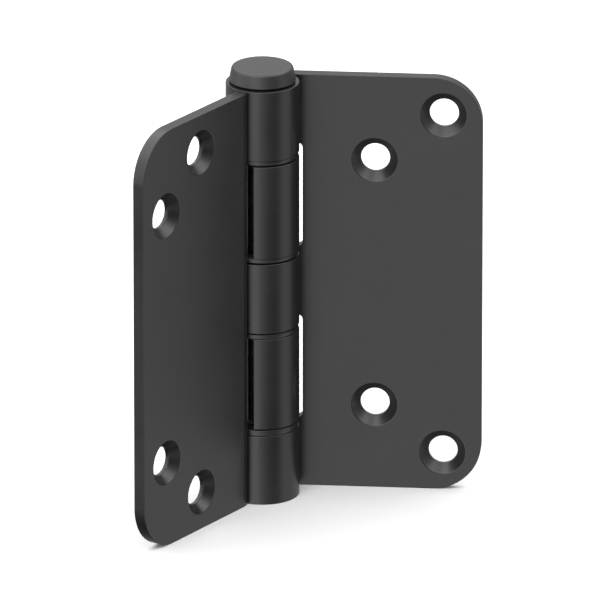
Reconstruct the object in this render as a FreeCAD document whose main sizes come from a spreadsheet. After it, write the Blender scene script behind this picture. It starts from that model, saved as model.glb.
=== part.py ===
import FreeCAD, Part
import math
import os
import sys
import Sketcher

# A five-knuckle butt hinge, standing on its end and opened to 120 degrees.
# Row frame, millimetres: the pin axis is Z, and z = 0 is the bottom edge of both leaves.
# The frame leaf runs along +X with its countersunk face towards -Y.
# The door leaf is drawn closed, lying along +X, and its Placement turns it to the rest angle.

DOC_NAME = "door_hinge"
PARTS_DIR = "parts"
TOP = FreeCAD.Vector(0, 0, 1)

SIZES = [
    ("leaf_height", 89.0, "height of both leaves and of the knuckle stack"),
    ("leaf_width", 44.4, "from the pin axis to the outer edge of a leaf"),
    ("plate_thick", 2.6, "strip thickness of both leaves"),
    ("corner_radius", 10.0, "outer corners of both leaves"),
    ("knuckle_radius", 7.5, "outside of the rolled knuckles"),
    ("seam_angle", 36.0, "where the frame leaf's roll ends, in degrees from +X"),
    ("door_face", 1.9, "door leaf's countersunk face, past the pin axis"),
    ("seam_slit", 0.7, "how far the door leaf's roll end stands above its face"),
    ("neck_radius", 2.5, "hollow round between the door leaf's back and its roll"),
    ("ring_gap", 1.25, "bearing gap between neighbouring knuckles"),
    ("foot_gap", 1.55, "bearing gap above the bottom knuckle"),
    ("end_knuckle", 14.8, "length of the frame leaf's top and bottom knuckles"),
    ("mid_knuckle", 14.9, "length of the frame leaf's middle knuckle"),
    ("knuckle_clear", 0.25, "cut-outs clear the other leaf's knuckles by this"),
    ("slot_round", 1.0, "inner corners of the cut-outs"),
    ("hole_radius", 3.0, "screw holes"),
    ("sink_diameter", 9.4, "mouth of the countersinks"),
    ("sink_angle", 90.0, "full angle of the countersinks, in degrees"),
    ("frame_inner_x", 22.5, "frame leaf's inner pair of holes, from the pin axis"),
    ("frame_inner_z", 18.0, "frame leaf's inner pair, from the nearer end"),
    ("frame_outer_x", 36.5, "frame leaf's outer pair of holes, from the pin axis"),
    ("frame_outer_z", 8.0, "frame leaf's outer pair, from the nearer end"),
    ("door_inner_x", 24.4, "door leaf's inner pair of holes, from the pin axis"),
    ("door_inner_z", 8.0, "door leaf's inner pair, from the nearer end"),
    ("door_outer_x", 36.5, "door leaf's outer pair of holes, from the pin axis"),
    ("door_outer_z", 18.0, "door leaf's outer pair, from the nearer end"),
    ("rest_turn", 120.0, "opening angle at rest, in degrees"),
    ("pin_radius", 4.0, "hinge pin"),
    ("run_clear", 0.05, "radial clearance of the running bushes on the pin"),
    ("seat_clear", 0.02, "radial clearance of the pieces seated in the bores"),
    ("bush_short", 0.2, "how far a bush stops short inside its knuckle"),
    ("ring_recess", 0.2, "how far the flanges lie below the knuckles' outside"),
    ("flange_thick", 0.95, "flange of the bushes"),
    ("spigot_length", 5.0, "cap's spigot inside the top knuckle"),
    ("plug_length", 4.0, "plug inside the bottom knuckle"),
    ("plug_chamfer", 0.5, "plug's visible edge"),
    ("cap_inset", 0.7, "step from the knuckle's outside to the cap's lower rim"),
    ("cap_taper", 0.3, "how much the cap's wall leans in"),
    ("cap_height", 3.05, "cap head"),
    ("cap_round", 0.35, "cap's upper edge"),
    ("cap_shadow", 0.3, "gap between the cap and the top knuckle"),
]

DERIVED = [
    ("bore_radius", "=knuckle_radius - plate_thick"),
    ("front_y", "=knuckle_radius - plate_thick"),
    ("door_back", "=plate_thick - door_face"),
    ("reach", "=knuckle_radius + 1"),
    ("slot_edge", "=knuckle_radius + knuckle_clear"),
    ("flange_radius", "=knuckle_radius - ring_recess"),
    ("cap_radius", "=knuckle_radius - cap_inset"),
    ("mid_low", "=(leaf_height - mid_knuckle) / 2"),
    ("mid_high", "=(leaf_height + mid_knuckle) / 2"),
    ("top_low", "=leaf_height - end_knuckle"),
    ("neck_drop", "=door_back + neck_radius"),
    ("neck_run", "=sqrt((knuckle_radius + neck_radius) ^ 2 - neck_drop ^ 2)"),
    ("crest_radius", "=plate_thick + neck_radius"),
    ("foot_flange", "=foot_gap - ring_gap + flange_thick"),
    ("lower_start", "=end_knuckle + foot_gap"),
    ("lower_end", "=mid_low - ring_gap"),
    ("upper_start", "=mid_high + ring_gap"),
    ("upper_end", "=top_low - ring_gap"),
    ("door_knuckle", "=lower_end - lower_start"),
    ("door_bush", "=door_knuckle - bush_short"),
    ("top_bush", "=end_knuckle - spigot_length"),
    ("foot_bush", "=end_knuckle - plug_length"),
]

doc = FreeCAD.newDocument(DOC_NAME)
sheet = doc.addObject("Spreadsheet::Sheet", "dims")
sheet.Label = "dims"
row = 1
for alias, value, note in SIZES:
    sheet.set("A%d" % row, alias)
    sheet.set("B%d" % row, repr(value))
    sheet.set("C%d" % row, note)
    sheet.setAlias("B%d" % row, alias)
    row += 1
for alias, formula in DERIVED:
    sheet.set("A%d" % row, alias)
    sheet.set("B%d" % row, formula)
    sheet.setAlias("B%d" % row, alias)
    row += 1
doc.recompute()


def size(alias):
    return float(getattr(sheet, alias))


def cell(text):
    """Turn words such as 'leaf_height - corner' into an expression on the sheet."""
    words = []
    for word in text.split():
        plain = word.strip("()")
        if plain.replace("_", "").isalpha():
            word = word.replace(plain, "dims." + plain)
        words.append(word)
    return " ".join(words)


def bind(thing, prop, text):
    thing.setExpression(prop, cell(text))


def new_body(name):
    body = doc.addObject("PartDesign::Body", name)
    body.Label = name
    return body


def origin_plane(body, role):
    for feature in body.Origin.OriginFeatures:
        if feature.Role == role:
            return feature
    raise ValueError("no origin plane " + role)


def new_sketch(body, name, role, offset=None):
    """A sketch on one of the body's own planes, moved along its normal by an expression."""
    sketch = body.newObject("Sketcher::SketchObject", name)
    sketch.AttachmentSupport = [(origin_plane(body, role), "")]
    sketch.MapMode = "FlatFace"
    if offset is not None:
        bind(sketch, "AttachmentOffset.Base.z", offset)
    doc.recompute()
    return sketch


def hold(sketch, text, *args):
    """Add a driving constraint whose value is an expression."""
    number = sketch.addConstraint(Sketcher.Constraint(*args))
    name = "c%d" % number
    sketch.renameConstraint(number, name)
    bind(sketch, "Constraints." + name, text)


def fix(sketch, *args):
    sketch.addConstraint(Sketcher.Constraint(*args))


def line(sketch, start, end):
    return sketch.addGeometry(Part.LineSegment(FreeCAD.Vector(*start, 0), FreeCAD.Vector(*end, 0)))


def arc(sketch, centre, radius, first, last):
    """Counter-clockwise arc between two angles in degrees."""
    circle = Part.Circle(FreeCAD.Vector(*centre, 0), TOP, radius)
    return sketch.addGeometry(Part.ArcOfCircle(circle, math.radians(first), math.radians(last)))


def chain(sketch, ends):
    """Join consecutive edges; each entry is (edge, its first point, its last point)."""
    for number, (edge, first, last) in enumerate(ends):
        after, after_first, after_last = ends[(number + 1) % len(ends)]
        fix(sketch, "Coincident", edge, last, after, after_first)


def flat(sketch, *edges):
    for edge in edges:
        fix(sketch, "Horizontal", edge)


def upright(sketch, *edges):
    for edge in edges:
        fix(sketch, "Vertical", edge)


def pad(body, name, sketch, text):
    feature = body.newObject("PartDesign::Pad", name)
    feature.Profile = sketch
    bind(feature, "Length", text)
    sketch.Visibility = False
    doc.recompute()
    return feature


def must_cut(body, name, kind, sketch, before):
    """Recompute and stop if the feature has not taken material away."""
    doc.recompute()
    after = body.Shape.Volume
    if not after < before - 1e-3:
        raise ValueError("%s %s cut nothing" % (kind, name))
    sketch.Visibility = False


def pocket(body, name, sketch, text, back=False):
    before = body.Shape.Volume
    feature = body.newObject("PartDesign::Pocket", name)
    feature.Profile = sketch
    feature.Reversed = back
    bind(feature, "Length", text)
    must_cut(body, name, "pocket", sketch, before)
    return feature


def slot(sketch, low, high, low_text, high_text):
    """A cut-out from beyond the roll to slot_edge, with rounded corners on the leaf side."""
    left = -size("reach")
    right = size("slot_edge")
    rnd = size("slot_round")
    base = line(sketch, (left, low), (right - rnd, low))
    turn_a = arc(sketch, (right - rnd, low + rnd), rnd, -90, 0)
    side = line(sketch, (right, low + rnd), (right, high - rnd))
    turn_b = arc(sketch, (right - rnd, high - rnd), rnd, 0, 90)
    roof = line(sketch, (right - rnd, high), (left, high))
    back = line(sketch, (left, high), (left, low))
    flat(sketch, base, roof)
    upright(sketch, side, back)
    fix(sketch, "Tangent", base, 2, turn_a, 1)
    fix(sketch, "Tangent", turn_a, 2, side, 1)
    fix(sketch, "Tangent", side, 2, turn_b, 1)
    fix(sketch, "Tangent", turn_b, 2, roof, 1)
    fix(sketch, "Coincident", roof, 2, back, 1)
    fix(sketch, "Coincident", back, 2, base, 1)
    hold(sketch, "slot_round", "Radius", turn_a, rnd)
    hold(sketch, "slot_round", "Radius", turn_b, rnd)
    hold(sketch, "reach", "DistanceX", back, 1, -1, 1, -left)
    hold(sketch, "slot_edge", "DistanceX", -1, 1, side, 1, right)
    if low < 0:
        hold(sketch, low_text, "DistanceY", base, 1, -1, 1, -low)
    else:
        hold(sketch, low_text, "DistanceY", -1, 1, base, 1, low)
    hold(sketch, high_text, "DistanceY", -1, 1, roof, 1, high)


def block(sketch, near, far, low, high):
    """A plain rectangle. Each side is (value, expression), and zero or less is left of the origin."""
    base = line(sketch, (near[0], low[0]), (far[0], low[0]))
    side = line(sketch, (far[0], low[0]), (far[0], high[0]))
    roof = line(sketch, (far[0], high[0]), (near[0], high[0]))
    back = line(sketch, (near[0], high[0]), (near[0], low[0]))
    chain(sketch, [(edge, 1, 2) for edge in (base, side, roof, back)])
    flat(sketch, base, roof)
    upright(sketch, side, back)
    for kind, edge, place in (("X", back, near), ("X", side, far), ("Y", base, low), ("Y", roof, high)):
        value, text = place
        if value < 0:
            hold(sketch, text, "Distance" + kind, edge, 1, -1, 1, -value)
        else:
            hold(sketch, text, "Distance" + kind, -1, 1, edge, 1, value)


def round_corners(body, name):
    """Fillet the two outer corners, which are the edges along Y at the far end of the leaf."""
    wide = size("leaf_width")
    base = body.Tip
    picked = []
    for number, edge in enumerate(base.Shape.Edges):
        a = edge.Vertexes[0].Point
        b = edge.Vertexes[-1].Point
        at_end = abs(a.x - wide) < 1e-4 and abs(b.x - wide) < 1e-4
        if at_end and abs(a.z - b.z) < 1e-4 and abs(a.y - b.y) > 0.5:
            picked.append("Edge%d" % (number + 1))
    if len(picked) != 2:
        raise ValueError("expected two outer corners")
    feature = body.newObject("PartDesign::Fillet", name)
    feature.Base = (base, picked)
    bind(feature, "Radius", "corner_radius")
    doc.recompute()
    return feature


def screw_holes(body, name, sketch, pairs, back=False):
    """Four countersunk holes: two pairs, each mirrored about the leaf's mid-height."""
    tall = size("leaf_height")
    for x_name, z_name in pairs:
        for upper in (False, True):
            z = tall - size(z_name) if upper else size(z_name)
            circle = Part.Circle(FreeCAD.Vector(size(x_name), z, 0), TOP, size("hole_radius"))
            edge = sketch.addGeometry(circle)
            hold(sketch, "hole_radius", "Radius", edge, size("hole_radius"))
            hold(sketch, x_name, "DistanceX", -1, 1, edge, 3, size(x_name))
            text = "leaf_height - " + z_name if upper else z_name
            hold(sketch, text, "DistanceY", -1, 1, edge, 3, z)
    doc.recompute()
    before = body.Shape.Volume
    feature = body.newObject("PartDesign::Hole", name)
    feature.Profile = sketch
    doc.recompute()
    feature.Reversed = back
    feature.ThreadType = "None"
    feature.DepthType = "ThroughAll"
    bind(feature, "Diameter", "2 * hole_radius")
    feature.HoleCutType = "Countersink"
    feature.HoleCutCustomValues = True
    bind(feature, "HoleCutDiameter", "sink_diameter")
    bind(feature, "HoleCutCountersinkAngle", "sink_angle")
    must_cut(body, name, "hole", sketch, before)
    return feature


def turned(name, points, low_text):
    """A body of revolution about Z. Points are (radius, height, radius text, height text)."""
    body = new_body(name)
    sketch = new_sketch(body, name + "_profile", "XZ_Plane")
    edges = []
    count = len(points)
    for number in range(count):
        here = points[number]
        there = points[(number + 1) % count]
        edges.append(line(sketch, here[:2], there[:2]))
    chain(sketch, [(edge, 1, 2) for edge in edges])
    for edge, point in zip(edges, points):
        radius, height, radius_text, height_text = point
        if radius_text is None:
            fix(sketch, "PointOnObject", edge, 1, -2)
        else:
            hold(sketch, radius_text, "DistanceX", -1, 1, edge, 1, radius)
        if height_text is None:
            fix(sketch, "PointOnObject", edge, 1, -1)
        else:
            hold(sketch, height_text, "DistanceY", -1, 1, edge, 1, height)
    doc.recompute()
    feature = body.newObject("PartDesign::Revolution", name + "_turn")
    feature.Profile = sketch
    feature.ReferenceAxis = (sketch, ["V_Axis"])
    feature.Angle = 360
    sketch.Visibility = False
    bind(body, "Placement.Base.z", low_text)
    doc.recompute()
    return body


def tube(name, inner_text, outer_text, length_text, low_text):
    """A plain sleeve: a ring padded upwards from its lower end."""
    body = new_body(name)
    sketch = new_sketch(body, name + "_ring", "XY_Plane")
    for text in (inner_text, outer_text):
        edge = sketch.addGeometry(Part.Circle(FreeCAD.Vector(0, 0, 0), TOP, 4.5))
        fix(sketch, "Coincident", edge, 3, -1, 1)
        hold(sketch, text, "Radius", edge, 4.0 if text == inner_text else 5.0)
    pad(body, name + "_pad", sketch, length_text)
    bind(body, "Placement.Base.z", low_text)
    doc.recompute()
    return body


# Frame leaf: its back is tangent to the roll, and the roll ends just short of its own face.
frame_leaf = new_body("frame_leaf")
section = new_sketch(frame_leaf, "frame_section", "XY_Plane")
outer = size("knuckle_radius")
inner = size("bore_radius")
wide = size("leaf_width")
seam = size("seam_angle")
seam_cos = math.cos(math.radians(seam))
seam_sin = math.sin(math.radians(seam))
f_back = line(section, (0, outer), (wide, outer))
f_rim = line(section, (wide, outer), (wide, inner))
f_face = line(section, (wide, inner), (0, inner))
f_bore = arc(section, (0, 0), inner, 90, 360 + seam)
f_lip = line(section, (inner * seam_cos, inner * seam_sin), (outer * seam_cos, outer * seam_sin))
f_roll = arc(section, (0, 0), outer, 90, 360 + seam)
flat(section, f_back, f_face)
upright(section, f_rim)
chain(section, [(f_back, 1, 2), (f_rim, 1, 2), (f_face, 1, 2), (f_bore, 1, 2), (f_lip, 1, 2), (f_roll, 2, 1)])
for edge in (f_bore, f_roll):
    fix(section, "Coincident", edge, 3, -1, 1)
fix(section, "PointOnObject", f_back, 1, -2)
fix(section, "PointOnObject", f_face, 2, -2)
fix(section, "PointOnObject", -1, 1, f_lip)
hold(section, "knuckle_radius", "Radius", f_roll, outer)
hold(section, "bore_radius", "Radius", f_bore, inner)
hold(section, "leaf_width", "DistanceX", -1, 1, f_rim, 1, wide)
number = section.addConstraint(Sketcher.Constraint("Angle", f_lip, math.radians(seam)))
section.renameConstraint(number, "lip_angle")
section.setExpression("Constraints.lip_angle", "dims.seam_angle * 1 deg")
pad(frame_leaf, "frame_strip", section, "leaf_height")

cuts = new_sketch(frame_leaf, "frame_cut_outs", "XZ_Plane", "reach")
gaps = [
    (size("end_knuckle"), size("mid_low"), "end_knuckle", "mid_low"),
    (size("mid_high"), size("top_low"), "mid_high", "top_low"),
]
for gap in gaps:
    slot(cuts, *gap)
pocket(frame_leaf, "frame_slots", cuts, "2 * reach")
shave = new_sketch(frame_leaf, "frame_roll_ends", "XZ_Plane", "reach")
near = (size("slot_edge") - size("slot_round"), "slot_edge - slot_round")
far = (size("reach"), "reach")
for low, high, low_text, high_text in gaps:
    block(shave, near, far, (low, low_text), (high, high_text))
pocket(frame_leaf, "frame_ends", shave, "reach + front_y")
round_corners(frame_leaf, "frame_corners")
frame_pairs = [("frame_inner_x", "frame_inner_z"), ("frame_outer_x", "frame_outer_z")]
spots = new_sketch(frame_leaf, "frame_hole_spots", "XZ_Plane", "0 - front_y")
screw_holes(frame_leaf, "frame_holes", spots, frame_pairs)

# Door leaf: almost centred on the pin, its roll closes on a narrow slit beside its face.
door_leaf = new_body("door_leaf")
section = new_sketch(door_leaf, "door_section", "XY_Plane")
face_y = size("door_face")
back_y = -size("door_back")
neck = size("neck_radius")
end_y = face_y + size("seam_slit")
neck_y = back_y - neck
neck_x = math.sqrt((outer + neck) ** 2 - neck_y ** 2)
neck_turn = math.degrees(math.atan2(neck_y, neck_x))
bore_x = math.sqrt(inner ** 2 - face_y ** 2)
lip_in = math.sqrt(inner ** 2 - end_y ** 2)
lip_out = math.sqrt(outer ** 2 - end_y ** 2)
bore_low = math.degrees(math.asin(end_y / inner))
bore_high = 360 + math.degrees(math.asin(face_y / inner))
roll_low = math.degrees(math.asin(end_y / outer))
d_rim = line(section, (wide, back_y), (wide, face_y))
d_face = line(section, (wide, face_y), (bore_x, face_y))
d_bore = arc(section, (0, 0), inner, bore_low, bore_high)
d_lip = line(section, (lip_in, end_y), (lip_out, end_y))
d_roll = arc(section, (0, 0), outer, roll_low, 360 + neck_turn)
d_neck = arc(section, (neck_x, neck_y), neck, 90, 180 + neck_turn)
d_back = line(section, (neck_x, back_y), (wide, back_y))
flat(section, d_face, d_lip, d_back)
upright(section, d_rim)
fix(section, "Coincident", d_rim, 2, d_face, 1)
fix(section, "Coincident", d_face, 2, d_bore, 2)
fix(section, "Coincident", d_bore, 1, d_lip, 1)
fix(section, "Coincident", d_lip, 2, d_roll, 1)
fix(section, "Tangent", d_roll, 2, d_neck, 2)
fix(section, "Tangent", d_neck, 1, d_back, 1)
fix(section, "Coincident", d_back, 2, d_rim, 1)
for edge in (d_bore, d_roll):
    fix(section, "Coincident", edge, 3, -1, 1)
hold(section, "knuckle_radius", "Radius", d_roll, outer)
hold(section, "bore_radius", "Radius", d_bore, inner)
hold(section, "neck_radius", "Radius", d_neck, neck)
hold(section, "leaf_width", "DistanceX", -1, 1, d_rim, 1, wide)
hold(section, "door_face", "DistanceY", -1, 1, d_face, 1, face_y)
hold(section, "door_back", "DistanceY", d_rim, 1, -1, 1, -back_y)
hold(section, "door_face + seam_slit", "DistanceY", -1, 1, d_lip, 1, end_y)
pad(door_leaf, "door_strip", section, "leaf_height")

# The strip keeps its thickness round the neck, so its face falls away towards the roll.
mouth = new_sketch(door_leaf, "door_mouth", "XY_Plane")
crest = neck + size("plate_thick")
touch = inner / (outer + neck)
meet = (neck_x * touch, neck_y * touch)
mouth_y = face_y + 0.5 * size("seam_slit")
mouth_x = 0.88 * inner
m_crest = arc(mouth, (neck_x, neck_y), crest, 90, 180 + neck_turn)
m_side = line(mouth, meet, (mouth_x, mouth_y))
m_top = line(mouth, (mouth_x, mouth_y), (neck_x, mouth_y))
m_drop = line(mouth, (neck_x, mouth_y), (neck_x, face_y))
flat(mouth, m_top)
upright(mouth, m_drop)
fix(mouth, "Coincident", m_crest, 2, m_side, 1)
fix(mouth, "Coincident", m_side, 2, m_top, 1)
fix(mouth, "Coincident", m_top, 2, m_drop, 1)
fix(mouth, "Coincident", m_drop, 2, m_crest, 1)
hold(mouth, "neck_run", "DistanceX", -1, 1, m_crest, 3, neck_x)
hold(mouth, "neck_drop", "DistanceY", m_crest, 3, -1, 1, -neck_y)
hold(mouth, "crest_radius", "Radius", m_crest, crest)
hold(mouth, "neck_run", "DistanceX", -1, 1, m_drop, 1, neck_x)
hold(mouth, "bore_radius * neck_run / (knuckle_radius + neck_radius)", "DistanceX", -1, 1, m_side, 1, meet[0])
hold(mouth, "0.88 * bore_radius", "DistanceX", -1, 1, m_top, 1, mouth_x)
hold(mouth, "door_face + 0.5 * seam_slit", "DistanceY", -1, 1, m_top, 1, mouth_y)
pocket(door_leaf, "door_crest", mouth, "leaf_height", back=True)

tall = size("leaf_height")
bands = [
    (-2.0, size("lower_start"), "2 * slot_round", "lower_start"),
    (size("lower_end"), size("upper_start"), "lower_end", "upper_start"),
    (size("upper_end"), tall + 2.0, "upper_end", "leaf_height + 2 * slot_round"),
]
cuts = new_sketch(door_leaf, "door_cut_outs", "XZ_Plane", "reach")
for band in bands:
    slot(cuts, *band)
pocket(door_leaf, "door_slots", cuts, "2 * reach")
far = (outer + neck, "knuckle_radius + neck_radius")
shave = new_sketch(door_leaf, "door_neck_ends", "XZ_Plane", "door_back")
for low, high, low_text, high_text in bands:
    block(shave, near, far, (low, low_text), (high, high_text))
pocket(door_leaf, "door_necks", shave, "reach", back=True)

# The flanges turn in four shallow seats, one in each gap between knuckles.
seats = new_sketch(door_leaf, "door_flange_rings", "XZ_Plane")
core = (0.5 * size("pin_radius"), "0.5 * pin_radius")
lip = (size("flange_radius") + size("seat_clear"), "flange_radius + seat_clear")
for low_text, high_text in (("end_knuckle", "lower_start"), ("lower_end", "mid_low"),
                            ("mid_high", "upper_start"), ("upper_end", "top_low")):
    block(seats, core, lip, (size(low_text), low_text), (size(high_text), high_text))
doc.recompute()
before = door_leaf.Shape.Volume
groove = door_leaf.newObject("PartDesign::Groove", "door_seats")
groove.Profile = seats
groove.ReferenceAxis = (seats, ["V_Axis"])
groove.Angle = 360
must_cut(door_leaf, "door_seats", "groove", seats, before)
round_corners(door_leaf, "door_corners")
door_pairs = [("door_inner_x", "door_inner_z"), ("door_outer_x", "door_outer_z")]
spots = new_sketch(door_leaf, "door_hole_spots", "XZ_Plane", "0 - door_face")
screw_holes(door_leaf, "door_holes", spots, door_pairs, back=True)
door_leaf.Placement = FreeCAD.Placement(FreeCAD.Vector(0, 0, 0), FreeCAD.Rotation(TOP, -size("rest_turn")))
door_leaf.setExpression("Placement.Rotation.Angle", "dims.rest_turn * 1 deg")
door_leaf.Placement.Rotation.Axis = FreeCAD.Vector(0, 0, -1)

# Pin, cap and plug on the pin axis.
hinge_pin = doc.addObject("Part::Cylinder", "hinge_pin")
hinge_pin.Label = "hinge_pin"
bind(hinge_pin, "Radius", "pin_radius")
bind(hinge_pin, "Height", "leaf_height - spigot_length - plug_length")
bind(hinge_pin, "Placement.Base.z", "plug_length")

seat = size("bore_radius") - size("seat_clear")
spigot = size("spigot_length") + size("cap_shadow")
rim = size("cap_radius")
lean = rim - size("cap_taper")
head = spigot + size("cap_height")
soft = size("cap_round")
cap_points = [
    (0.0, 0.0, None, None),
    (seat, 0.0, "bore_radius - seat_clear", None),
    (seat, spigot, "bore_radius - seat_clear", "spigot_length + cap_shadow"),
    (rim, spigot, "cap_radius", "spigot_length + cap_shadow"),
    (lean, head - soft, "cap_radius - cap_taper",
     "spigot_length + cap_shadow + cap_height - cap_round"),
    (lean - soft, head, "cap_radius - cap_taper - cap_round",
     "spigot_length + cap_shadow + cap_height"),
    (0.0, head, None, "spigot_length + cap_shadow + cap_height"),
]
turned("pin_cap", cap_points, "leaf_height - spigot_length")

plug = size("plug_length")
edge_cut = size("plug_chamfer")
plug_points = [
    (0.0, 0.0, None, None),
    (seat - edge_cut, 0.0, "bore_radius - seat_clear - plug_chamfer", None),
    (seat, edge_cut, "bore_radius - seat_clear", "plug_chamfer"),
    (seat, plug, "bore_radius - seat_clear", "plug_length"),
    (0.0, plug, None, "plug_length"),
]
turned("bottom_plug", plug_points, "0 * plug_length")

# A plain sleeve keeps the pin centred in the frame leaf's middle knuckle.
tube("middle_sleeve", "pin_radius + seat_clear", "bore_radius - seat_clear", "mid_knuckle", "mid_low")


def bush(name, inner, inner_text, sleeve, sleeve_text, low_text, upwards, thick_text="flange_thick"):
    """A flanged bush: the flange lies against the knuckle's end, and the sleeve goes inside."""
    flange = size("flange_radius")
    thick = size(thick_text)
    seat = size("bore_radius") - size("seat_clear")
    seat_text = "bore_radius - seat_clear"
    whole = thick + sleeve
    whole_text = thick_text + " + " + sleeve_text
    if upwards:
        points = [
            (inner, 0.0, inner_text, None),
            (flange, 0.0, "flange_radius", None),
            (flange, thick, "flange_radius", thick_text),
            (seat, thick, seat_text, thick_text),
            (seat, whole, seat_text, whole_text),
            (inner, whole, inner_text, whole_text),
        ]
    else:
        points = [
            (inner, 0.0, inner_text, None),
            (seat, 0.0, seat_text, None),
            (seat, sleeve, seat_text, sleeve_text),
            (flange, sleeve, "flange_radius", sleeve_text),
            (flange, whole, "flange_radius", whole_text),
            (inner, whole, inner_text, whole_text),
        ]
    return turned(name, points, low_text)


# The two end bushes are fixed in the frame leaf, and the other two turn with the door leaf.
held = size("pin_radius") + size("seat_clear")
held_text = "pin_radius + seat_clear"
free = size("pin_radius") + size("run_clear")
free_text = "pin_radius + run_clear"
bush("bottom_bush", held, held_text, size("foot_bush"), "foot_bush", "plug_length", False, "foot_flange")
bush("lower_bush", free, free_text, size("door_bush"), "door_bush", "lower_start + bush_short", False)
bush("upper_bush", free, free_text, size("door_bush"), "door_bush", "upper_start - flange_thick", True)
bush("top_bush", held, held_text, size("top_bush"), "top_bush", "top_low - flange_thick", True)
doc.recompute()

NODES = [
    "frame_leaf", "door_leaf", "hinge_pin", "pin_cap", "bottom_plug", "top_bush", "upper_bush",
    "middle_sleeve", "lower_bush", "bottom_bush",
]

problems = []
for thing in doc.Objects:
    if "Invalid" in thing.State or "Error" in thing.State:
        problems.append("%s is %s" % (thing.Name, thing.State))
os.makedirs(PARTS_DIR, exist_ok=True)
for node in NODES:
    shape = doc.getObject(node).Shape
    if shape.isNull() or not shape.isValid():
        problems.append(node + " has no valid shape")
        continue
    box = shape.BoundBox
    print("%-18s volume %9.1f  x %7.2f %7.2f  y %7.2f %7.2f  z %7.2f %7.2f  solids %d" % (
        node, shape.Volume, box.XMin, box.XMax, box.YMin, box.YMax, box.ZMin, box.ZMax,
        len(shape.Solids)))
    shape.exportStep(os.path.join(PARTS_DIR, node + ".step"))
if problems:
    print("\n".join(problems))
    sys.exit(1)
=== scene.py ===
# %% [markdown]
# # A black butt hinge, standing open
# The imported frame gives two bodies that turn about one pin: the leaf that is screwed to the
# door frame, and the leaf that is screwed to the door. This lesson models the pressed leaves,
# the round cap, the foot plug and the bearing rings around that frame, and coats them.

import math

import bpy
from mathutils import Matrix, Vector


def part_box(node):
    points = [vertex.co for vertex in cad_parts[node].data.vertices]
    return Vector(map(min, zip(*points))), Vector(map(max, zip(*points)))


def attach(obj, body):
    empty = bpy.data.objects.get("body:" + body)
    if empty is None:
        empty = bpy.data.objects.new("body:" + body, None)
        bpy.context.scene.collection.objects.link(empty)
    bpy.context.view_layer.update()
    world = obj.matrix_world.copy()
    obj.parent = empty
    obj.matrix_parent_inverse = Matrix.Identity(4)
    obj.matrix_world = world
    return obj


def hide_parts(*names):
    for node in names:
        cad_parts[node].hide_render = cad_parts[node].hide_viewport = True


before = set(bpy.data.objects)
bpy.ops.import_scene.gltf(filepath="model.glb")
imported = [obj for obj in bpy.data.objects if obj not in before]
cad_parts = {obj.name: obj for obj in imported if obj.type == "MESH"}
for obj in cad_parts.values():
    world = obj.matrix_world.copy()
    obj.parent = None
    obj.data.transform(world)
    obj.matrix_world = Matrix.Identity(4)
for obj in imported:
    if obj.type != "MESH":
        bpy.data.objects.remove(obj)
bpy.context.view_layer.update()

# %% [markdown]
# ## Sizes
# A hinge is drawn in millimetres and Blender works in metres. The overall sizes are read from
# the frame's own boxes, so the looks can't drift away from the model that moves. Two places that
# are closer together than NEAR count as the same place.

# %% Sizes taken from the frame
MM = 0.001
NEAR = 0.01 * MM
leaf_low, leaf_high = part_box("frame_leaf")
KNUCKLE = -leaf_low.x
LEAF_END = leaf_high.x
TALL = leaf_high.z
cap_low, cap_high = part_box("pin_cap")
BUSHES = ("top_bush", "upper_bush", "lower_bush", "bottom_bush")
ring_boxes = {name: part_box(name) for name in BUSHES}
RING_RADIUS = ring_boxes["top_bush"][1].x
print("knuckle radius %.2f mm" % (KNUCKLE / MM))
print("leaf %.1f mm wide and %.1f mm tall" % (LEAF_END / MM, TALL / MM))
print("cap from %.2f to %.2f mm" % (cap_low.z / MM, cap_high.z / MM))
print("ring radii", [round(high.x / MM, 2) for low, high in ring_boxes.values()])

# %% [markdown]
# A leaf of this size is made from strip 2.6 mm thick. The other values say how long a knuckle
# is, how much room a bearing ring has in its joint, where the leaves' faces lie, and how far the
# door leaf turns from closed to its rest angle.

# %% Sizes of the pressed strip
THICK = 2.6 * MM
BORE = KNUCKLE - THICK
FACE_Y = BORE
DOOR_FACE = 1.9 * MM
DOOR_BACK = DOOR_FACE - THICK
END_KNUCKLE = 14.8 * MM
MID_KNUCKLE = 14.9 * MM
JOINT_GAP = 1.25 * MM
FOOT_GAP = 1.55 * MM
SLOT_EDGE = KNUCKLE + 0.25 * MM
REST_TURN = math.radians(120)
MID_LOW = (TALL - MID_KNUCKLE) / 2
MID_HIGH = (TALL + MID_KNUCKLE) / 2
TOP_LOW = TALL - END_KNUCKLE
CORNER = 10 * MM
print("bore radius %.2f mm" % (BORE / MM))
print("middle knuckle from %.1f to %.1f mm" % (MID_LOW / MM, MID_HIGH / MM))

# %% [markdown]
# ## Small modelling tools
# The same few moves come back for every piece: deselect everything, add a primitive, pick
# parts of it by their place, and apply a modifier. Each is written once here, as a helper.

# %% Selecting and switching modes
def nothing_selected():
    if bpy.context.object and bpy.context.object.mode != "OBJECT":
        bpy.ops.object.mode_set(mode="OBJECT")
    bpy.ops.object.select_all(action="DESELECT")


def only(piece):
    nothing_selected()
    piece.select_set(True)
    bpy.context.view_layer.objects.active = piece


def pick(piece, kind, test):
    """Select the vertices, edges or faces whose every point passes the test, in edit mode."""
    only(piece)
    bpy.ops.object.mode_set(mode="EDIT")
    bpy.ops.mesh.select_mode(type=kind)
    bpy.ops.mesh.select_all(action="DESELECT")
    bpy.ops.object.mode_set(mode="OBJECT")
    mesh = piece.data
    parts = {"VERT": mesh.vertices, "EDGE": mesh.edges, "FACE": mesh.polygons}[kind]
    chosen = 0
    for part in parts:
        points = [part.co] if kind == "VERT" else [mesh.vertices[v].co for v in part.vertices]
        if all(test(point) for point in points):
            part.select = True
            chosen += 1
    bpy.ops.object.mode_set(mode="EDIT")
    return chosen


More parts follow.
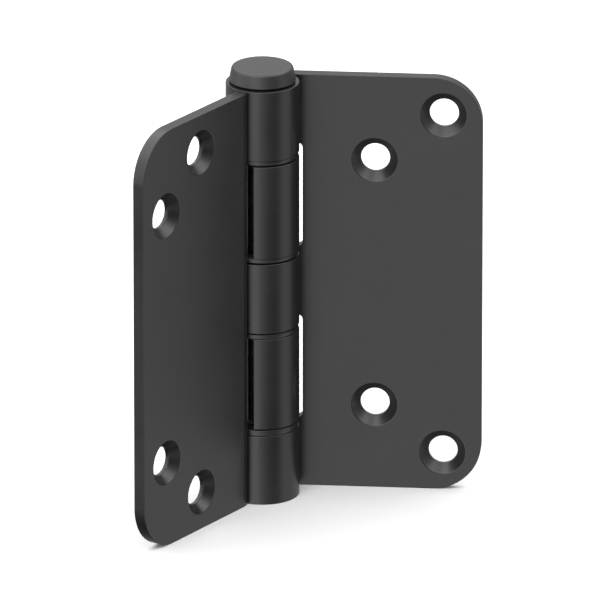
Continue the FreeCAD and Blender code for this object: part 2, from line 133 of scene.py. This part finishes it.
# %% Primitives in place
def settle(name):
    """Name the new primitive and move its place into its mesh."""
    piece = bpy.context.object
    piece.name = name
    piece.data.name = name
    bpy.ops.object.transform_apply(location=True, rotation=True, scale=True)
    return piece


def block(name, low, high):
    """A box between two corners, or a flat panel when both corners share a height.

    A panel has no height to scale by, so its third scale stays 1.
    """
    nothing_selected()
    middle = [(a + b) / 2 for a, b in zip(low, high)]
    if low[2] == high[2]:
        bpy.ops.mesh.primitive_plane_add(size=1, location=middle)
    else:
        bpy.ops.mesh.primitive_cube_add(size=1, location=middle)
    bpy.context.object.scale = [b - a or 1 for a, b in zip(low, high)]
    return settle(name)


def apply_all(piece):
    only(piece)
    for modifier in list(piece.modifiers):
        bpy.ops.object.modifier_apply(modifier=modifier.name)


def cut(piece, tool):
    """Cut with a tool and throw the tool away."""
    modifier = piece.modifiers.new("cut", "BOOLEAN")
    modifier.operation = "DIFFERENCE"
    modifier.solver = "EXACT"
    modifier.object = tool
    apply_all(piece)
    bpy.data.objects.remove(tool)


MERGE = 0.002 * MM


def outward(piece):
    """Merge points that lie on each other and turn every face outwards."""
    only(piece)
    bpy.ops.object.mode_set(mode="EDIT")
    bpy.ops.mesh.select_all(action="SELECT")
    bpy.ops.mesh.remove_doubles(threshold=MERGE)
    bpy.ops.mesh.normals_make_consistent(inside=False)
    bpy.ops.object.mode_set(mode="OBJECT")


# %% [markdown]
# The edges of pressed steel are never quite sharp, and a coat rounds them further and lies
# thinner on them. The bevel modifier can give the faces it makes a material number of their
# own. That number is read back here and kept as an attribute, so that a finish can find the
# edges later, and every face then goes back to the first material.

# %% Rounding every edge and remembering where it is
EDGE_STEPS = 3
SHARP_FROM = math.radians(40)
SMOOTH_UP_TO = math.radians(35)


def soften(piece, radius):
    """Round every sharp edge, remember where the edges are, and shade the flats as flat."""
    for name in ("flat", "edge"):
        piece.data.materials.append(bpy.data.materials.new(name))
    modifier = piece.modifiers.new("soft", "BEVEL")
    modifier.width = radius
    modifier.segments = EDGE_STEPS
    modifier.limit_method = "ANGLE"
    modifier.angle_limit = SHARP_FROM
    modifier.use_clamp_overlap = False
    modifier.miter_outer = "MITER_ARC"
    modifier.material = 1
    apply_all(piece)
    remember_edges(piece)
    bpy.ops.object.shade_smooth_by_angle(angle=SMOOTH_UP_TO)
    modifier = piece.modifiers.new("flats", "WEIGHTED_NORMAL")
    modifier.keep_sharp = True
    apply_all(piece)
    print(piece.name, len(piece.data.polygons), "faces")


def remember_edges(piece):
    """Write 1 on each vertex inside a rounded edge and 0 elsewhere, as edge_worn."""
    mesh = piece.data
    on_flat = {v for face in mesh.polygons if face.material_index == 0 for v in face.vertices}
    worn = mesh.attributes.new("edge_worn", "FLOAT", "POINT")
    for index, value in enumerate(worn.data):
        value.value = 0.0 if index in on_flat else 1.0
    for face in mesh.polygons:
        face.material_index = 0
    for material in list(mesh.materials):
        bpy.data.materials.remove(material)
    mesh.materials.clear()


# %% [markdown]
# ## The leaves
# A leaf is pressed from one strip of steel. Its tongues are rolled round the pin and the
# spaces between them leave room for the other leaf's tongues. A flat rectangle is the strip
# seen from above: its short edge is spun round the pin axis, and the whole outline is then
# pulled up to the leaf's height. Each knuckle could be a tube of its own, but with the spaces
# cut out of one long roll every knuckle has the same curve and no seam where it meets the leaf.

# %% A strip rolled round the pin
ROLL_STEPS = 80
CORNER_STEPS = 24


def spin_on(turn):
    """Spin the selected edge round the pin axis, then pull the whole strip up to full height."""
    bpy.ops.mesh.spin(steps=ROLL_STEPS, angle=turn, center=(0, 0, 0), axis=(0, 0, 1))
    bpy.ops.mesh.select_all(action="SELECT")
    bpy.ops.mesh.extrude_region_move(TRANSFORM_OT_translate={"value": (0, 0, TALL)})
    bpy.ops.object.mode_set(mode="OBJECT")
    outward(bpy.context.object)


def round_edge(piece, beyond, height, radius, steps):
    """Round the edge that lies past a distance from the pin and at one height."""
    count = pick(piece, "EDGE", lambda p: p.x > beyond - NEAR and abs(p.z - height) < NEAR)
    bpy.ops.mesh.bevel(offset=radius, segments=steps, affect="EDGES", profile=0.5)
    bpy.ops.object.mode_set(mode="OBJECT")
    return count


def round_outer_corners(piece):
    for height in (0, TALL):
        count = round_edge(piece, LEAF_END, height, CORNER, CORNER_STEPS)
        print(piece.name, "corner edges rounded:", count)


# %% The frame leaf's strip
SEAM_TURN = math.radians(306)
frame_leaf = block("frame_leaf_pressed", (0, FACE_Y, 0), (LEAF_END, KNUCKLE, 0))
pick(frame_leaf, "EDGE", lambda p: abs(p.x) < NEAR)
spin_on(-SEAM_TURN)
round_outer_corners(frame_leaf)
print("frame strip spans", [round(v / MM, 2) for v in frame_leaf.dimensions])

# %% [markdown]
# The spaces have small round corners where they meet the leaf, because a press tool can't
# punch a sharp one. The rolled part itself ends square.

# %% The tool that cuts a space
PAST = 2 * MM
TOOL_DEPTH = 12 * MM
SPACE_CORNER = 1 * MM
SPACE_STEPS = 6


def space_tool(low, high):
    """A block round the barrel whose two edges on the leaf side are rounded."""
    tool = block("space", (-KNUCKLE - PAST, -TOOL_DEPTH, low), (SLOT_EDGE, TOOL_DEPTH, high))
    for height in (low, high):
        round_edge(tool, SLOT_EDGE, height, SPACE_CORNER, SPACE_STEPS)
    return tool


# %% Cutting the frame leaf's spaces
for low, high in ((END_KNUCKLE, MID_LOW), (MID_HIGH, TOP_LOW)):
    cut(frame_leaf, space_tool(low, high))
    roll_end = block("square_end", (0, -KNUCKLE - MM, low), (KNUCKLE + MM, FACE_Y - NEAR, high))
    cut(frame_leaf, roll_end)
    print("space from %.2f to %.2f mm" % (low / MM, high / MM))

# %% [markdown]
# ## Countersunk holes
# Four screws hold each leaf, in a zigzag, so that they don't split one line of the wood. Their
# heads sink flush into a cone of 90 degrees, which is as deep as its wall is wide. The tool
# that cuts a hole is a disc pulled into that cone and then into a shank.

# %% The countersink tool
HOLE = 2.97 * MM
SINK = 4.7 * MM
SINK_DEPTH = SINK - HOLE
SINK_ABOVE = 0.4 * MM
SINK_SIDES = 64
SHANK = 4 * MM
print("countersink %.2f mm deep" % (SINK_DEPTH / MM))


def sink_tool(x, z, face, inward):
    """A screw-head shape that enters the face and goes inward, which is +1 or -1 along Y."""
    nothing_selected()
    wide = SINK + SINK_ABOVE
    bpy.ops.mesh.primitive_circle_add(
        vertices=SINK_SIDES, radius=wide, fill_type="NGON",
        location=(x, face - inward * SINK_ABOVE, z), rotation=(math.radians(90), 0, 0))
    tool = settle("screw_head")
    bpy.ops.object.mode_set(mode="EDIT")
    bpy.ops.mesh.select_all(action="SELECT")
    cone = {"value": (0, inward * (SINK_ABOVE + SINK_DEPTH), 0)}
    bpy.ops.mesh.extrude_region_move(TRANSFORM_OT_translate=cone)
    shrink = HOLE / wide
    bpy.ops.transform.resize(value=(shrink, 1, shrink), center_override=(x, 0, z))
    shank = {"value": (0, inward * SHANK, 0)}
    bpy.ops.mesh.extrude_region_move(TRANSFORM_OT_translate=shank)
    bpy.ops.object.mode_set(mode="OBJECT")
    outward(tool)
    return tool


# %% Holes in the frame leaf
LEAF_EDGE = 0.13 * MM


def both_ends(x, z):
    """A hole's place, in millimetres, and its twin as far from the other end."""
    return [(x * MM, z * MM), (x * MM, TALL - z * MM)]


FRAME_HOLES = both_ends(22.5, 18) + both_ends(36.5, 8)
for x, z in FRAME_HOLES:
    cut(frame_leaf, sink_tool(x, z, FACE_Y, 1))
soften(frame_leaf, LEAF_EDGE)

# %% [markdown]
# ## The door leaf
# This strip is nearly in line with the pin, so it first bends back along a short neck and then
# rolls round until its lip almost closes on its own face. Two spins, one after the other, do
# the same: the edge that the first one leaves selected is the one that the second takes on.
# The leaf is modelled flat against the frame leaf, where its sides follow the axes, and is
# turned to its rest angle at the end.

# %% The door leaf's strip
NECK = 2.5 * MM
NECK_STEPS = 16
LIP_ANGLE = math.radians(20.4)
neck_y = DOOR_BACK - NECK
neck_x = math.sqrt((KNUCKLE + NECK) ** 2 - neck_y ** 2)
neck_angle = math.atan2(neck_y, neck_x)
door_leaf = block("door_leaf_pressed", (neck_x, DOOR_BACK, 0), (LEAF_END, DOOR_FACE, 0))
pick(door_leaf, "EDGE", lambda p: p.x < neck_x + NEAR)
bend = math.pi / 2 + neck_angle
bpy.ops.mesh.spin(steps=NECK_STEPS, angle=-bend, center=(neck_x, neck_y, 0), axis=(0, 0, 1))
spin_on(math.tau + neck_angle - LIP_ANGLE)
round_outer_corners(door_leaf)
print("door strip spans", [round(v / MM, 2) for v in door_leaf.dimensions])

# %% [markdown]
# Only two knuckles are left on this leaf. What lies below, between and above them is cut away,
# and a joint's width more than the other leaf's knuckles take up, so that the rings fit in.

# %% The door leaf's spaces
LOWER = (END_KNUCKLE + FOOT_GAP, MID_LOW - JOINT_GAP)
UPPER = (MID_HIGH + JOINT_GAP, TOP_LOW - JOINT_GAP)
for low, high in ((-PAST, LOWER[0]), (LOWER[1], UPPER[0]), (UPPER[1], TALL + PAST)):
    cut(door_leaf, space_tool(low, high))
print("door knuckles", [[round(v / MM, 2) for v in ends] for ends in (LOWER, UPPER)])

# %% [markdown]
# The door leaf's holes swap heights with the frame leaf's, so that the screw heads miss each
# other when the hinge is closed. With its holes in and its edges soft, the leaf swings open.

# %% Holes in the door leaf, and the turn to its rest angle
DOOR_HOLES = both_ends(24.4, 8) + both_ends(36.5, 18)
for x, z in DOOR_HOLES:
    cut(door_leaf, sink_tool(x, z, DOOR_FACE, -1))
outward(door_leaf)
soften(door_leaf, LEAF_EDGE)
only(door_leaf)
door_leaf.rotation_euler = (0, 0, -REST_TURN)
bpy.ops.object.transform_apply(location=True, rotation=True, scale=True)
print("door leaf turned", round(math.degrees(REST_TURN)), "degrees")

# %% [markdown]
# ## Turned pieces
# The cap, the plug and the bearing rings are round. Each starts as a circle that is pulled up
# and resized again and again, as a potter would, from a short list of radii and heights.

# %% A lathe made of extrusions
LATHE_SIDES = 96


def lathe(name, rings, hollow=False):
    """Turn a list of (radius, height) into a solid, or into a ring when hollow."""
    nothing_selected()
    radius, height = rings[0]
    fill = "NOTHING" if hollow else "NGON"
    bpy.ops.mesh.primitive_circle_add(
        vertices=LATHE_SIDES, radius=radius, fill_type=fill, location=(0, 0, height))
    piece = settle(name)
    bpy.ops.object.mode_set(mode="EDIT")
    bpy.ops.mesh.select_all(action="SELECT")
    steps = rings[1:] + (rings[:1] if hollow else [])
    for next_radius, next_height in steps:
        rise = {"value": (0, 0, next_height - height)}
        if hollow:
            bpy.ops.mesh.extrude_edges_move(TRANSFORM_OT_translate=rise)
        else:
            bpy.ops.mesh.extrude_region_move(TRANSFORM_OT_translate=rise)
        grow = next_radius / radius
        bpy.ops.transform.resize(value=(grow, grow, 1), center_override=(0, 0, 0))
        radius, height = next_radius, next_height
    bpy.ops.object.mode_set(mode="OBJECT")
    outward(piece)
    return piece


# %% [markdown]
# The cap is a low disc whose wall flares a little towards the barrel. A thin shadow line
# parts it from the top knuckle, where its neck goes into the bore. The crown list rounds the
# upper edge: each pair says how far in and how far below the top the wall is, in millimetres.

# %% The cap
SNUG = BORE - 0.03 * MM
NECK_LOW = TALL - 2 * MM
CAP_EDGE = 0.1 * MM
cap_top = cap_high.z
cap_wide = cap_high.x
cap_rim = TALL + 0.4 * MM
rim_top = cap_rim + 0.2 * MM
crown = [(0.42, 0.72), (0.47, 0.48), (0.55, 0.29), (0.68, 0.14), (0.85, 0.04), (1.05, 0.0)]
cap = lathe("pin_cap_turned", [
    (SNUG, NECK_LOW),
    (SNUG, cap_rim),
    (cap_wide, cap_rim),
    (cap_wide, rim_top),
] + [(cap_wide - inward * MM, cap_top - drop * MM) for inward, drop in crown])
soften(cap, CAP_EDGE)

# %% [markdown]
# A short plug closes the bore at the foot of the barrel. It is seen only from below, as a disc
# with a sloped edge, so three circles are enough to turn it.

# %% The foot plug
PLUG_SLOPE = 0.5 * MM
PLUG_TOP = 4 * MM
PLUG_EDGE = 0.08 * MM
plug = lathe("foot_plug_turned", [
    (BORE - PLUG_SLOPE, 0.0),
    (SNUG, PLUG_SLOPE),
    (SNUG, PLUG_TOP),
])
soften(plug, PLUG_EDGE)

# %% [markdown]
# A bearing ring sits in each of the four joints, a hair inside the knuckles' outline. One is
# turned and then copied to the other joints, each copy with its own mesh. The ring above the
# foot is a little thicker than the rest, so its copy is stretched before it is put in place.

# %% The bearing rings
RING_THICK = 0.95 * MM
FOOT_RING = RING_THICK + FOOT_GAP - JOINT_GAP
RING_INSIDE = BORE - 0.3 * MM
RING_EDGE = 0.12 * MM
ring_floor = {
    "top_bush": TOP_LOW - RING_THICK,
    "upper_bush": UPPER[0] - RING_THICK,
    "lower_bush": LOWER[1],
    "bottom_bush": END_KNUCKLE,
}
first_ring = lathe("ring_top_bush", [
    (RING_INSIDE, 0.0),
    (RING_RADIUS, 0.0),
    (RING_RADIUS, RING_THICK),
    (RING_INSIDE, RING_THICK),
], hollow=True)
soften(first_ring, RING_EDGE)
rings = {"top_bush": first_ring}
for node in BUSHES[1:]:
    only(first_ring)
    bpy.ops.object.duplicate()
    rings[node] = bpy.context.object
    rings[node].name = "ring_" + node
rings["bottom_bush"].scale.z = FOOT_RING / RING_THICK
for node, ring in rings.items():
    only(ring)
    ring.location.z = ring_floor[node]
    bpy.ops.object.transform_apply(location=True, rotation=True, scale=True)
    print(node, "ring from", round(ring_floor[node] / MM, 2), "mm")

# %% [markdown]
# ## Riding on the frame
# Every piece moves with the body that carries it and hides the plain node it stands for. The
# pin and the middle sleeve keep their plain nodes, because the knuckles hide them.

# %% Bodies, nodes and slots
def carry(piece, body, node):
    """Put a piece on the body that moves it, in place of a node."""
    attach(piece, body)
    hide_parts(node)


carry(frame_leaf, "frame_side", "frame_leaf")
carry(cap, "frame_side", "pin_cap")
carry(plug, "frame_side", "bottom_plug")
carry(door_leaf, "door_side", "door_leaf")
for node, ring in rings.items():
    body = "door_side" if node in ("upper_bush", "lower_bush") else "frame_side"
    carry(ring, body, node)
print("pieces riding:", 4 + len(rings))

# %% [markdown]
# ## Finishes
# The steel has a thin satin black coat. Its own colour is nearly black, and what the eye sees
# is mostly the studio mirrored softly in it. A slow cloudiness changes colour and sheen over
# centimetres, a fine grain breaks the reflections up, and the rounded edges are a little paler
# and smoother where the coat is thin. The same three effects serve every finish, so they live in
# one node group. A picture wrapped round the pieces could do it too, but it would have seams.

# %% Sockets and mixes for a node group
def socket(group, name, kind, way, value=None):
    made = group.interface.new_socket(name=name, in_out=way, socket_type="NodeSocket" + kind)
    if value is not None:
        made.default_value = value


def blend_colour(nodes, links, factor, first, second):
    """A mix node whose result runs from the first colour to the second."""
    mix = nodes.new("ShaderNodeMix")
    mix.data_type = "RGBA"
    links.new(factor, mix.inputs["Factor"])
    links.new(first, mix.inputs["A"])
    links.new(second, mix.inputs["B"])
    return mix.outputs["Result"]


def blend_value(nodes, links, factor, first, second):
    mix = nodes.new("ShaderNodeMix")
    mix.data_type = "FLOAT"
    links.new(factor, mix.inputs["Factor"])
    links.new(first, mix.inputs["A"])
    links.new(second, mix.inputs["B"])
    return mix.outputs["Result"]


def noise(nodes, links, place, scale, detail):
    made = nodes.new("ShaderNodeTexNoise")
    made.inputs["Detail"].default_value = detail
    links.new(place, made.inputs["Vector"])
    links.new(scale, made.inputs["Scale"])
    return made.outputs["Fac"]


def stretch(nodes, links, value, low, high):
    """Spread the values between low and high over 0 to 1."""
    made = nodes.new("ShaderNodeMapRange")
    made.inputs["From Min"].default_value = low
    made.inputs["From Max"].default_value = high
    links.new(value, made.inputs["Value"])
    return made.outputs["Result"]


# %% The surface effects shared by all finishes
def surface_effects():
    group = bpy.data.node_groups.new("surface_effects", "ShaderNodeTree")
    for name, kind, value in (
            ("Grain size", "Float", 2500.0),
            ("Cloud size", "Float", 60.0),
            ("Dark", "Color", (0.01, 0.01, 0.01, 1)),
            ("Light", "Color", (0.02, 0.02, 0.02, 1)),
            ("Edge colour", "Color", (0.03, 0.03, 0.03, 1)),
            ("Smooth", "Float", 0.3),
            ("Dull", "Float", 0.4),
            ("Edge roughness", "Float", 0.3)):
        socket(group, name, kind, "INPUT", value)
    for name, kind in (("Colour", "Color"), ("Roughness", "Float"), ("Height", "Float")):
        socket(group, name, kind, "OUTPUT")
    nodes = group.nodes
    links = group.links
    given = nodes.new("NodeGroupInput").outputs
    result = nodes.new("NodeGroupOutput").inputs
    place = nodes.new("ShaderNodeTexCoord").outputs["Object"]
    worn = nodes.new("ShaderNodeAttribute")
    worn.attribute_name = "edge_worn"

    drift = noise(nodes, links, place, given["Cloud size"], detail=4.0)
    cloud = stretch(nodes, links, drift, low=0.3, high=0.7)
    grain = noise(nodes, links, place, given["Grain size"], detail=3.0)
    patchy = nodes.new("ShaderNodeMath")
    patchy.operation = "MULTIPLY"
    links.new(worn.outputs["Fac"], patchy.inputs[0])
    links.new(cloud, patchy.inputs[1])

    flat_colour = blend_colour(nodes, links, cloud, given["Dark"], given["Light"])
    colour = blend_colour(nodes, links, patchy.outputs[0], flat_colour, given["Edge colour"])
    flat_rough = blend_value(nodes, links, cloud, given["Smooth"], given["Dull"])
    rough = blend_value(nodes, links, worn.outputs["Fac"], flat_rough, given["Edge roughness"])
    links.new(colour, result["Colour"])
    links.new(rough, result["Roughness"])
    links.new(grain, result["Height"])
    return group


effects = surface_effects()


# %% A finish made from the shared effects
COOL = 1.02
GLOSS = 0.62
GRAIN_DEPTH = 0.02 * MM


def finish(name, dark, light, edge, rough, grain, cloud, bump, metallic=0.0):
    """Greys are given as single numbers, and roughness as smooth, dull and edge.

    The blue channel is a touch stronger, which makes the black a cool one.
    """
    material = bpy.data.materials.new(name)
    material.use_nodes = True
    nodes = material.node_tree.nodes
    links = material.node_tree.links
    surface = nodes["Principled BSDF"]
    surface.inputs["Metallic"].default_value = metallic
    surface.inputs["Specular IOR Level"].default_value = GLOSS
    mix = nodes.new("ShaderNodeGroup")
    mix.node_tree = effects
    for socket_name, grey in (("Dark", dark), ("Light", light), ("Edge colour", edge)):
        mix.inputs[socket_name].default_value = (grey, grey, grey * COOL, 1)
    for socket_name, value in (
            ("Grain size", grain), ("Cloud size", cloud),
            ("Smooth", rough[0]), ("Dull", rough[1]), ("Edge roughness", rough[2])):
        mix.inputs[socket_name].default_value = value
    links.new(mix.outputs["Colour"], surface.inputs["Base Color"])
    links.new(mix.outputs["Roughness"], surface.inputs["Roughness"])
    relief = nodes.new("ShaderNodeBump")
    relief.inputs["Strength"].default_value = bump
    relief.inputs["Distance"].default_value = GRAIN_DEPTH
    links.new(mix.outputs["Height"], relief.inputs["Height"])
    links.new(relief.outputs["Normal"], surface.inputs["Normal"])
    return material


# %% [markdown]
# The leaves have a satin coat with the most grain. The cap is duller, and its colour is a little
# paler than the leaves' coat: painted light, which lifts the cap's dark wall as more light would.
# The rings are a smooth black polymer. The pin and its sleeve, which only show when the hinge is
# taken apart, are bare ground steel.

# %% The four finishes
black_coat = finish(
    "satin_black_coat", dark=0.0135, light=0.0205, edge=0.026,
    rough=(0.26, 0.34, 0.25), grain=2600, cloud=70, bump=0.5)
# The cap's paler greys are painted light: they lighten its wall as more light would.
cap_coat_painted_light = finish(
    "satin_black_cap_painted_light", dark=0.027, light=0.032, edge=0.036,
    rough=(0.36, 0.42, 0.34), grain=2600, cloud=120, bump=0.2)
ring_black = finish(
    "bearing_black", dark=0.020, light=0.026, edge=0.034,
    rough=(0.26, 0.32, 0.26), grain=1800, cloud=90, bump=0.15)
pin_steel = finish(
    "ground_pin_steel", dark=0.42, light=0.52, edge=0.6,
    rough=(0.25, 0.35, 0.2), grain=3000, cloud=300, bump=0.2, metallic=1.0)


# %% Finishes on the pieces
def dress(piece, material):
    """Give a piece one material and no other."""
    piece.data.materials.clear()
    piece.data.materials.append(material)


for piece in (frame_leaf, door_leaf, plug):
    dress(piece, black_coat)
dress(cap, cap_coat_painted_light)
for ring in rings.values():
    dress(ring, ring_black)
for node in ("hinge_pin", "middle_sleeve"):
    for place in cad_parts[node].material_slots:
        place.material = pin_steel
print("materials", [m.name for m in bpy.data.materials])

# %% [markdown]
# ## Floor and studio
# The hinge stands on its end on a pale floor. A glossy black object shows its surroundings more
# than itself, so the studio is painted round it on the world: a tall soft panel at the left of
# the viewer, another further round to the right, a dim gap between them, a pale wall behind the
# hinge, a wide soft light above, and less light from far below. The floor is shown to the viewer
# only: it isn't mirrored in the hinge, throws no light on it and keeps no light from it.

# %% Floor
REACH = 4
PALE = 0.9
floor = block("studio_floor", (-REACH, -REACH, 0), (REACH, REACH, 0))
floor_white = bpy.data.materials.new("floor_white")
floor_white.use_nodes = True
floor_surface = floor_white.node_tree.nodes["Principled BSDF"]
floor_surface.inputs["Base Color"].default_value = (PALE, PALE, PALE, 1)
floor_surface.inputs["Roughness"].default_value = 1.0
floor_surface.inputs["Specular IOR Level"].default_value = 0.0
dress(floor, floor_white)
floor.visible_glossy = False
floor.visible_diffuse = False
floor.visible_shadow = False
print("floor", 2 * REACH, "m wide")

# %% [markdown]
# The studio is drawn as curves over two angles: the way round, where 0 is straight behind the
# viewer and positive is to the right, and the height above the horizon. Lamps and white cards
# could light the hinge too, but here every soft edge is one number, and nothing is in the way.

# %% Where the viewer stands
AZIMUTH = math.radians(4.825)
ELEVATION = math.radians(19.882)
print("viewer at %.1f degrees round and %.1f up" % (math.degrees(AZIMUTH), math.degrees(ELEVATION)))

# %% Nodes that calculate and follow curves
BRIGHTEST = 4.0


def ramp(nodes, links, value, low, high, stops):
    """A brightness that follows a list of (place, brightness) between low and high.

    A float curve only reaches 1, so every brightness is divided by BRIGHTEST.
    """
    spread = stretch(nodes, links, value, low, high)
    made = nodes.new("ShaderNodeFloatCurve")
    curve = made.mapping.curves[0]
    for place, bright in stops[1:-1]:
        curve.points.new((place - low) / (high - low), bright / BRIGHTEST)
    for end, (place, bright) in ((0, stops[0]), (-1, stops[-1])):
        curve.points[end].location = ((place - low) / (high - low), bright / BRIGHTEST)
    made.mapping.update()
    links.new(spread, made.inputs["Value"])
    return made.outputs["Value"]


def calculate(nodes, links, operation, first, second=None):
    """Calculate with one or two values, each a plain number or another node's output."""
    made = nodes.new("ShaderNodeMath")
    made.operation = operation
    for index, given in enumerate((first, second)):
        if isinstance(given, (int, float)):
            made.inputs[index].default_value = given
        elif given is not None:
            links.new(given, made.inputs[index])
    return made.outputs[0]


# %% [markdown]
# Each list is a row of stops, an angle in degrees and the brightness there. ROUND goes along the
# walls and UP fades them with height. FLANK and FLANK_UP together are one low panel at the far
# left, and ABOVE is the light overhead.

# %% Brightness by angle
ROUND = [
    (-180, 0.75), (-130, 0.75), (-105, 0.7), (-75, 0.6), (-55, 0.9), (-40, 1.75), (-25, 1.95),
    (-10, 1.4), (0, 1.0), (10, 0.78), (22, 0.59), (37, 0.47), (48, 0.51), (62, 0.96),
    (74, 1.14), (90, 0.95), (110, 0.93), (125, 0.88), (150, 0.7), (180, 0.75)]
UP = [(-90, 0.3), (-60, 0.35), (-45, 0.8), (-30, 1.0), (20, 1.0), (35, 1.1), (60, 1.0), (90, 0.5)]
FLANK = [(-180, 0.0), (-115, 0.1), (-95, 0.9), (-75, 1.0), (-60, 0.3), (-50, 0.0), (180, 0.0)]
FLANK_UP = [(-90, 0.0), (-18, 0.0), (-8, 0.9), (15, 1.0), (35, 0.4), (50, 0.0), (90, 0.0)]
ABOVE = [(-90, 0.0), (25, 0.0), (38, 0.7), (48, 1.7), (58, 1.5), (70, 0.8), (90, 0.6)]
print("brightest wall", max(bright for place, bright in ROUND))

# %% The two angles of every direction
world = bpy.data.worlds.new("studio")
bpy.context.scene.world = world
world.use_nodes = True
nodes = world.node_tree.nodes
links = world.node_tree.links
toward = nodes.new("ShaderNodeTexCoord").outputs["Generated"]
turned = nodes.new("ShaderNodeVectorRotate")
turned.rotation_type = "Z_AXIS"
turned.inputs["Angle"].default_value = -AZIMUTH
links.new(toward, turned.inputs["Vector"])
parts = nodes.new("ShaderNodeSeparateXYZ")
links.new(turned.outputs["Vector"], parts.inputs["Vector"])
forward = calculate(nodes, links, "MULTIPLY", parts.outputs["Y"], -1.0)
side_radians = calculate(nodes, links, "ARCTAN2", parts.outputs["X"], forward)
side = calculate(nodes, links, "DEGREES", side_radians)
height_radians = calculate(nodes, links, "ARCSINE", parts.outputs["Z"])
height = calculate(nodes, links, "DEGREES", height_radians)
print("nodes for the angles", len(nodes))

# %% [markdown]
# A product of two curves has been divided by BRIGHTEST twice, so it is multiplied by it once to
# match the single overhead curve. The sum of all three is multiplied by it at the end.

# %% The painted studio
walls = ramp(nodes, links, side, -180, 180, ROUND)
fade = ramp(nodes, links, height, -90, 90, UP)
overhead = ramp(nodes, links, height, -90, 90, ABOVE)
flank_side = ramp(nodes, links, side, -180, 180, FLANK)
flank_height = ramp(nodes, links, height, -90, 90, FLANK_UP)
faded = calculate(nodes, links, "MULTIPLY", walls, fade)
walls_lit = calculate(nodes, links, "MULTIPLY", faded, BRIGHTEST)
flank = calculate(nodes, links, "MULTIPLY", flank_side, flank_height)
flank_lit = calculate(nodes, links, "MULTIPLY", flank, BRIGHTEST)
both_lit = calculate(nodes, links, "ADD", walls_lit, flank_lit)
total = calculate(nodes, links, "ADD", both_lit, overhead)
strength = calculate(nodes, links, "MULTIPLY", total, BRIGHTEST)
background = nodes["Background"].inputs
links.new(strength, background["Strength"])
background["Color"].default_value = (1, 1, 1, 1)
print("studio nodes", len(nodes))

# %% [markdown]
# The camera has a very long lens and stands three metres away, so the leaves hardly taper. It
# looks at a point a few centimetres behind the barrel and below the hinge's middle.

# %% Camera
AWAY = 3.0
AIM = (5.3007 * MM, 27.7535 * MM, 31.9606 * MM)
LENS = 874.7
FILM_WIDTH = 36
camera_data = bpy.data.cameras.new("view")
camera_data.lens = LENS
camera_data.sensor_width = FILM_WIDTH
camera_data.clip_end = 100
camera = bpy.data.objects.new("view", camera_data)
bpy.context.scene.collection.objects.link(camera)
level = AWAY * math.cos(ELEVATION)
camera.location = (
    AIM[0] + level * math.sin(AZIMUTH),
    AIM[1] - level * math.cos(AZIMUTH),
    AIM[2] + AWAY * math.sin(ELEVATION))
camera.rotation_euler = (math.pi / 2 - ELEVATION, 0, AZIMUTH)
bpy.context.scene.camera = camera
bpy.context.scene.view_settings.view_transform = "Standard"
print("camera at", [round(v, 4) for v in camera.location])
